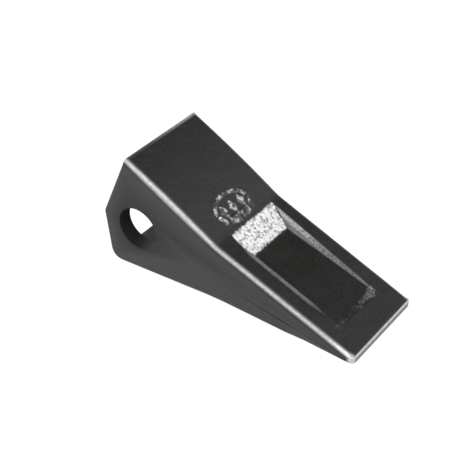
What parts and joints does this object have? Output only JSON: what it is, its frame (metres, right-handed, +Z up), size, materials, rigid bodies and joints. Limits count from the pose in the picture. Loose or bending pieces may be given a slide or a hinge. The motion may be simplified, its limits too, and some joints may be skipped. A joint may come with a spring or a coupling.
{
  "type": "excavator bucket tooth",
  "caption": "Wedge-shaped cast digging point with an open nose socket between pointed side ears, a round cross pin started in an ear, and a ring lock washer for it.",
  "frame": {"origin": "centre of the flat end of the nose socket, at mid width of the casting", "axes": "+X along the tooth towards its cutting edge, +Y across the width towards the ear that holds the lock washer, +Z up with the tooth lying on its underside"},
  "size_m": [0.255, 0.1277, 0.112],
  "materials": {
    "painted_casting": "charcoal paint, satin, over rough cast steel with bright worn edges",
    "pin_steel": "turned and hardened, lightly oiled",
    "washer_steel": "pressed and zinc plated",
    "washer_rubber": "moulded, matt",
    "jaw_steel": "hardened, dark"
  },
  "bodies": {
    "tooth": {"tooth_point": "painted_casting", "washer_shell": "washer_steel", "washer_rubber": "washer_rubber", "washer_jaw_1": "jaw_steel", "washer_jaw_2": "jaw_steel", "washer_jaw_3": "jaw_steel", "washer_jaw_4": "jaw_steel"},
    "pin": {"retaining_pin": "pin_steel"}
  },
  "joints": [
    {"name": "pin_drive", "type": "slide", "parent": "tooth", "child": "pin", "axis": [0, -1, 0], "range_m": [-0.052, 0.031]}
  ]
}
